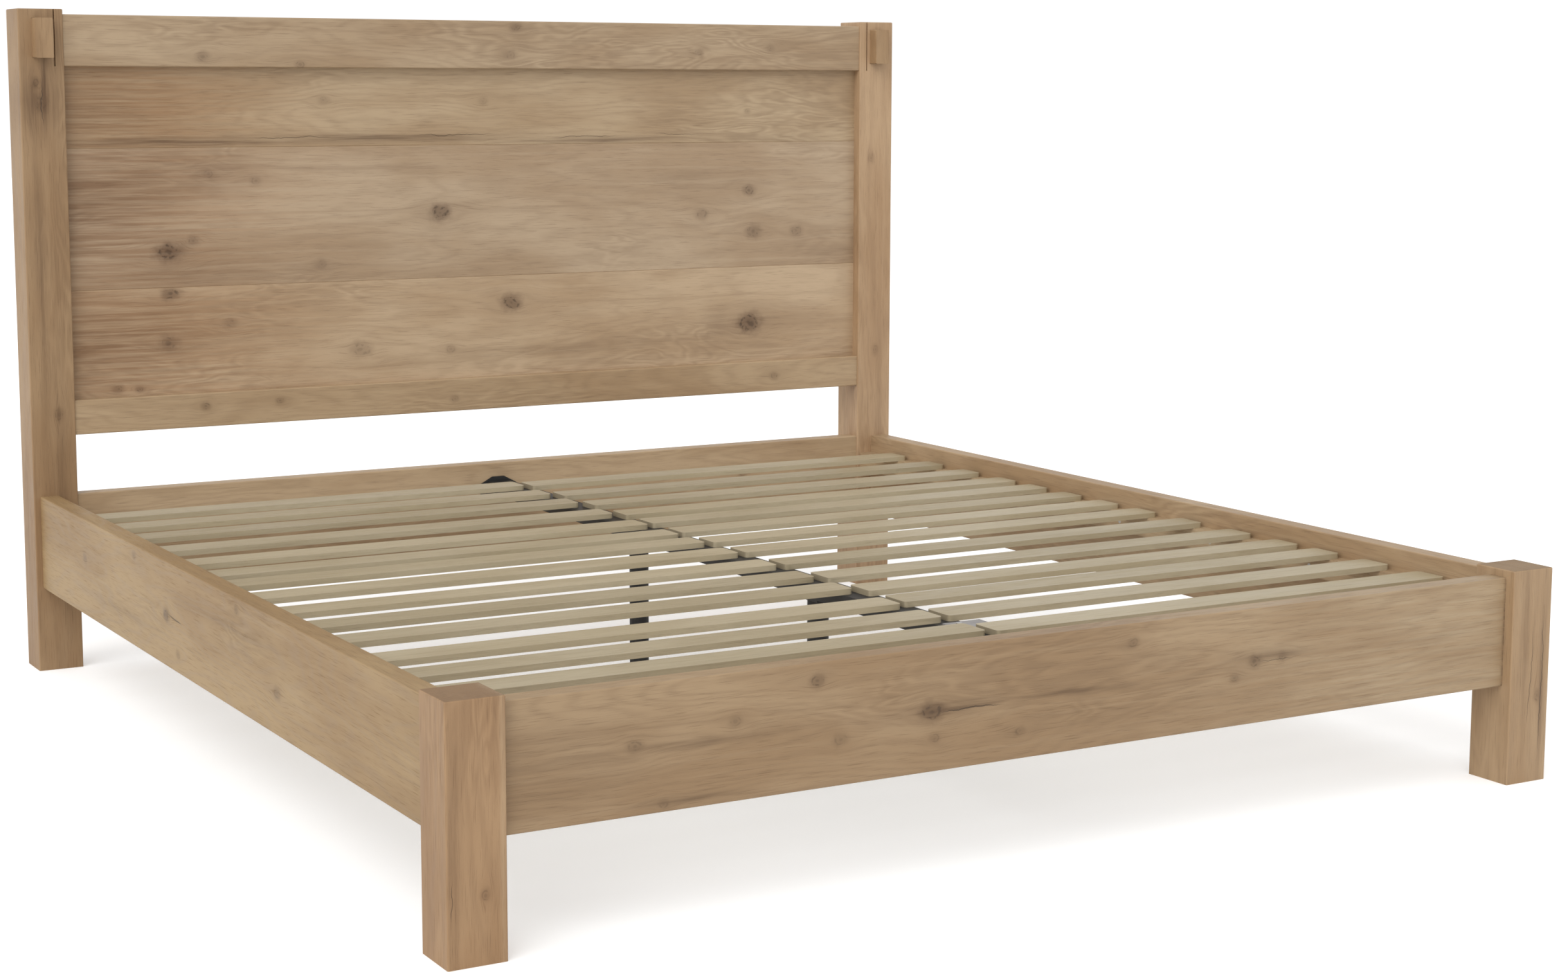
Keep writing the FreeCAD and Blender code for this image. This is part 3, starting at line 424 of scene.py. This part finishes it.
dress("headboard_top_rail", board_material("oak_top_rail", "x", 1, top_rail_knots, tint=(0.98, 1.01, 1.07)))
dress("headboard_lower_rail", board_material("oak_lower_rail", "x", 2, lower_rail_knots))
dress("headboard_plank_upper",
      board_material("oak_upper_plank", "x", 3, upper_knots, seam_cracks, seam_stains, (1.05, 1.09, 1.14),
                     washes=[(-820, 1130, 300, 160, WARMER)]))
dress("headboard_plank_middle",
      board_material("oak_middle_plank", "x", 4, middle_knots, (), middle_stains, (1.05, 1.10, 1.22),
                     figure=0.2, rings=14.0, curl=0.9, washes=[(-820, 930, 330, 260, WARMER)]))
dress("headboard_plank_lower",
      board_material("oak_lower_plank", "x", 5, lower_knots, (), lower_stains, (1.16, 1.20, 1.29),
                     figure=0.2, rings=14.0, curl=0.9, washes=[(-820, 660, 330, 220, WARMER)]))
print("headboard boards dressed")

# %% [markdown]
# The rails round the mattress are thick planks with cracks that run out from their knots. The side rails
# turn the grain to Y. The cross rail at the head is seen only from behind, and from inside in shadow.

# %% The rails
foot_knots = [(-430, 329, 8, 0.6), (-565, 285, 7, 0.3), (-230, 260, 13, 0.8), (-390, 237, 8, 0.35),
              (-227, 219, 7, 0.35), (-74, 212, 7, 0.35), (-724, 269, 8, 0.4), (139, 325, 7, 0.35),
              (382, 271, 9, 0.6), (439, 272, 7, 0.45), (342, 247, 6, 0.4), (-680, 180, 6, 0.3)]
foot_cracks = [(-225, -90, 262, -0.06, 1.3), (385, 470, 270, 0.0, 0.7)]
# The last two entries are painted shade, not stains: thin dark lines on the rail at its two ends, where the
# legs stand proud of it.
foot_stains_and_shade = [(-640, 262, 110, 7, 0.6), (-180, 262, 80, 8, 0.85), (20, 262, 90, 6, 0.7),
               (420, 276, 70, 6, 0.7), (-640, 182, 90, 7, 0.6), (-820, 250, 120, 60, 0.3),
               (-927, 262, 5, 300, 0.9), (927, 262, 4, 300, 0.7)]
left_knots = [(362, 337, 7, 0.35), (175, 262, 10, 0.75), (-206, 337, 7, 0.35), (-394, 237, 9, 0.4),
              (687, 281, 8, 0.35), (112, 202, 7, 0.3)]
left_cracks = [(80, 176, 256, 0.08, 1.6)]
right_knots = [(-640, 300, 9, 0.4), (-310, 215, 7, 0.3), (20, 290, 11, 0.6), (415, 240, 8, 0.35)]
head_knots = [(-540, 250, 9, 0.5), (-150, 300, 7, 0.3), (260, 220, 10, 0.5), (620, 290, 8, 0.35)]

dress("foot_rail",
      board_material("oak_foot_rail", "x", 6, foot_knots, foot_cracks, foot_stains_and_shade, (0.82, 0.79, 0.75),
                     washes=[(760, 262, 420, 400, PALER)]))
dress("head_cross_rail", board_material("oak_head_rail", "x", 7, head_knots))
left_stains = [(-150, 300, 260, 9, 0.3), (450, 220, 200, 12, 0.3)]
dress("side_rail_left", board_material("oak_left_rail", "y", 8, left_knots, left_cracks, left_stains,
                                       (0.83, 0.79, 0.66)))
dress("side_rail_right", board_material("oak_right_rail", "y", 9, right_knots, [(20, 160, 288, 0.0, 1.0)]))
print("rails dressed")

# %% [markdown]
# The posts and legs are heavy square timber with the grain standing upright and dark end grain on top.
# The pegs stand out of the posts' front faces and have a tint of their own.

# %% Posts, legs and pegs
posts = {
    "head_post_left": {"knots": [(1140, -975, 12, 0.6), (1180, -985, 7, 0.5), (520, -960, 9, 0.35)],
                       "cracks": [(1090, 1200, -972, 0.0, 1.2)],
                       "stains_and_shade": [(1140, -975, 60, 40, 0.8), (1175, -968, 70, 8, 0.9),
                                  (1105, -985, 60, 7, 0.8), (300, -960, 300, 12, 0.45),
                                  (800, -985, 300, 9, 0.4)],
                       "tint": (0.8, 0.73, 0.66)},
    "head_post_right": {"knots": [(560, 975, 8, 0.35), (1010, 960, 7, 0.3)],
                        "stains_and_shade": [(300, 985, 260, 9, 0.35)],
                        "tint": (1.05, 0.99, 0.97)},
    "foot_leg_left": {"knots": [(97, -960, 6, 0.4)],
                      "cracks": [(60, 130, -1008, 0.0, 0.7)],
                      "stains_and_shade": [(180, -1005, 160, 9, 0.4)],
                      "tint": (0.84, 0.73, 0.64),
                      "washes": [(180, -931, 600, 6, PALER)]},
    "foot_leg_right": {"knots": [(150, 990, 7, 0.4)],
                       "cracks": [(30, 330, 998, 0.0, 1.2), (80, 300, 968, 0.04, 0.9)],
                       "stains_and_shade": [(160, 1000, 150, 7, 0.6), (240, 960, 140, 6, 0.6)],
                       "tint": (0.97, 0.94, 0.92)}}
for number, (node, marks) in enumerate(posts.items()):
    dress(node, board_material(f"oak_{node}", "z", 10 + number, figure=0.2, rings=12.0, **marks))
for number, side in enumerate(("left", "right")):
    peg_material = board_material(f"oak_peg_{side}", "z", 14 + number, tint=(0.84, 0.77, 0.7))
    dress(f"headboard_peg_{side}", peg_material)
print("posts dressed")

# %% [markdown]
# The slats are thin strips, paler and greyer than the oak, with a fine straight grain. A few tones are
# made, and a number worked out from a slat's place in the row says which one it takes.

# %% Slats and ledges
SLAT = {"pale": (0.46, 0.39, 0.265), "warm": (0.40, 0.33, 0.21), "brown": (0.20, 0.15, 0.09)}
LEDGE = {"pale": (0.48, 0.36, 0.22), "warm": (0.38, 0.26, 0.15), "brown": (0.14, 0.08, 0.04)}
SLAT_TONES = 7
SLATS_PER_ROW = 14
slat_materials = []
for number in range(SLAT_TONES):
    shift = 1.0 + 0.05 * math.sin(number * 2.4)
    tones = {name: tuple(channel * shift for channel in colour) for name, colour in SLAT.items()}
    slat_materials.append(board_material(f"veneer_slat_{number}", "x", 30 + number, tones=tones, figure=0.1,
                                         rings=12.0, curl=0.1))
for side, start in (("left", 0), ("right", 3)):
    for number in range(1, SLATS_PER_ROW + 1):
        dress(f"slat_{side}_{number:02d}", slat_materials[(start + number * 3) % SLAT_TONES])
ledge_material = board_material("pine_ledge", "y", 40, tones=LEDGE)
dress("slat_ledge_left", ledge_material)
dress("slat_ledge_right", ledge_material)
print("slats dressed:", len(slat_materials), "tones")

# %% [markdown]
# The ironwork under the slats is mostly hidden. Black powder coat has a fine orange-peel texture and a
# soft sheen, the tie plate has a duller grey coat, zinc plating has a blotchy spangle, and the plastic
# glides are faintly mottled. One group of fine noise serves all four.

# %% Metal and plastic
def make_speckle():
    tree, given, gives = new_group(
        "fine_speckle", [("Place", PLACE, None), ("Grain", NUMBER, 900.0), ("Blotch", NUMBER, 25.0)],
        [("Grain", NUMBER), ("Blotch", NUMBER)])
    tree.links.new(noise(tree, given["Place"], given["Grain"], 2.0), gives["Grain"])
    tree.links.new(noise(tree, given["Place"], given["Blotch"], 4.0, 0.6), gives["Blotch"])
    return tree


fine_speckle = make_speckle()


def hard_material(name, dark, light, metallic, rough, grain, blotch, strength):
    material = bpy.data.materials.new(name)
    material.use_nodes = True
    tree = material.node_tree
    shader = tree.nodes["Principled BSDF"]
    here = put(tree, "ShaderNodeTexCoord")
    speckle = use_group(tree, fine_speckle, {"Place": here.outputs["Object"], "Grain": grain,
                                             "Blotch": blotch})
    mottled = blend_colour(tree, ramp(tree, speckle["Blotch"], 0.35, 0.65), (*dark, 1.0), (*light, 1.0))
    tree.links.new(mottled, shader.inputs["Base Color"])
    roughness = sums(tree, "ADD", rough, sums(tree, "MULTIPLY", speckle["Blotch"], 0.15))
    tree.links.new(roughness, shader.inputs["Roughness"])
    bump = put(tree, "ShaderNodeBump", Height=speckle["Grain"], Strength=strength, Distance=0.0003)
    tree.links.new(bump.outputs[0], shader.inputs["Normal"])
    shader.inputs["Metallic"].default_value = metallic
    return material


powder_coat = hard_material("black_powder_coat", (0.012, 0.012, 0.012), (0.022, 0.021, 0.02),
                            0.0, 0.42, 1400.0, 18.0, 0.3)
grey_coat = hard_material("grey_plate_finish", (0.24, 0.225, 0.225), (0.31, 0.295, 0.29),
                          0.0, 0.45, 1100.0, 30.0, 0.25)
zinc = hard_material("zinc_plate", (0.5, 0.5, 0.5), (0.66, 0.66, 0.64), 1.0, 0.3, 800.0, 90.0, 0.15)
glide_plastic = hard_material("black_plastic", (0.016, 0.016, 0.016), (0.028, 0.028, 0.028),
                              0.0, 0.5, 600.0, 60.0, 0.2)
for node in ("centre_rail", "centre_rail_bracket_head", "centre_rail_bracket_foot", "centre_leg_head",
             "centre_leg_foot"):
    dress(node, powder_coat)
dress("centre_rail_tie_plate", grey_coat)
for node in ("leg_glide_head", "leg_glide_foot"):
    dress(node, glide_plastic)
for node in ("ledge_screws", "plate_screws", "centre_rail_bolts", "post_keeper_plates", "rail_hook_plates"):
    dress(node, zinc)
print("ironwork dressed")

# %% [markdown]
# The studio is a white floor under a wide white sky, with one broad sun from the front left. A wide sun
# angle gives a shadow that is dark only where the wood meets the floor. The sky has two strengths, joined
# by the Light Path node: what the camera sees directly is pure white, and what lights the bed is a little
# weaker, so the background stays clean without washing out the wood. The floor gets a small lift in the
# same way, which keeps the shadow under the bed pale.

# %% Floor and light
FLOOR_SIZE = 60.0
FLOOR_LIFT = 0.3
SKY_ON_BED, SKY_IN_VIEW = 0.8, 1.05
SUN_STRENGTH, SUN_SPREAD = 1.3, 50.0
SUN_FROM = Vector((-0.75, -0.55, 0.75))

bpy.ops.object.select_all(action="DESELECT")
bpy.ops.mesh.primitive_plane_add(size=FLOOR_SIZE, location=(0.0, 0.0, 0.0))
floor = bpy.context.object
floor.name = "studio_floor"
floor_material = bpy.data.materials.new("studio_floor_paint")
floor_material.use_nodes = True
floor_tree = floor_material.node_tree
floor_shader = floor_tree.nodes["Principled BSDF"]
floor_place = put(floor_tree, "ShaderNodeTexCoord")
floor_noise = noise(floor_tree, floor_place.outputs["Object"], 3.0, 3.0)
floor_tone = blend_colour(floor_tree, floor_noise, (0.93, 0.93, 0.93, 1.0), (0.95, 0.95, 0.95, 1.0))
floor_tree.links.new(floor_tone, floor_shader.inputs["Base Color"])
floor_shader.inputs["Roughness"].default_value = 0.85
floor_shader.inputs["Specular IOR Level"].default_value = 0.1
floor_ray = put(floor_tree, "ShaderNodeLightPath")
floor_shader.inputs["Emission Color"].default_value = (1.0, 1.0, 1.0, 1.0)
floor_tree.links.new(sums(floor_tree, "MULTIPLY", floor_ray.outputs["Is Camera Ray"], FLOOR_LIFT),
                     floor_shader.inputs["Emission Strength"])
floor.data.materials.append(floor_material)

world = bpy.data.worlds.new("studio_sky")
bpy.context.scene.world = world
world.use_nodes = True
sky_tree = world.node_tree
sky = sky_tree.nodes["Background"]
sky.inputs["Color"].default_value = (1.0, 1.0, 1.0, 1.0)
ray = put(sky_tree, "ShaderNodeLightPath")
strength = put(sky_tree, "ShaderNodeMapRange", Value=ray.outputs["Is Camera Ray"])
strength.inputs["To Min"].default_value = SKY_ON_BED
strength.inputs["To Max"].default_value = SKY_IN_VIEW
sky_tree.links.new(strength.outputs[0], sky.inputs["Strength"])

sun_data = bpy.data.lights.new("broad_sun", "SUN")
sun_data.energy = SUN_STRENGTH
sun_data.angle = math.radians(SUN_SPREAD)
sun = bpy.data.objects.new("broad_sun", sun_data)
bpy.context.scene.collection.objects.link(sun)
sun.matrix_world = SUN_FROM.to_track_quat("Z", "Y").to_matrix().to_4x4()
bpy.context.scene.view_settings.view_transform = "Standard"
print("studio lit")

# %% [markdown]
# The camera stands well back from the bed's front left corner, a little lower than the headboard's top,
# with a long lens so that the far post keeps its size. Its turn is built from two directions, where it
# looks and which way is up, which is easier to reason about than three angles.

# %% Camera
STAND = (-2.340, -4.2459, 1.1747)
LENS, FILM_WIDTH = 60.41, 36.0
SHIFT = (0.0177, -0.0316)

camera_data = bpy.data.cameras.new("front_left_camera")
camera = bpy.data.objects.new("front_left_camera", camera_data)
bpy.context.scene.collection.objects.link(camera)
yaw, pitch, roll = -0.518, -0.132, 0.002
ahead = Vector((-math.sin(yaw) * math.cos(pitch), math.cos(yaw) * math.cos(pitch), math.sin(pitch)))
right = Vector((math.cos(yaw), math.sin(yaw), 0.0))
up = right.cross(ahead)
right_rolled = right * math.cos(roll) + up * math.sin(roll)
up_rolled = up * math.cos(roll) - right * math.sin(roll)
turned = Matrix((right_rolled, up_rolled, -ahead)).transposed().to_4x4()
camera.matrix_world = Matrix.Translation(STAND) @ turned
camera_data.sensor_width = FILM_WIDTH
camera_data.lens = LENS
camera_data.shift_x, camera_data.shift_y = SHIFT
bpy.context.scene.camera = camera
print("camera at", [round(value, 3) for value in camera.location])
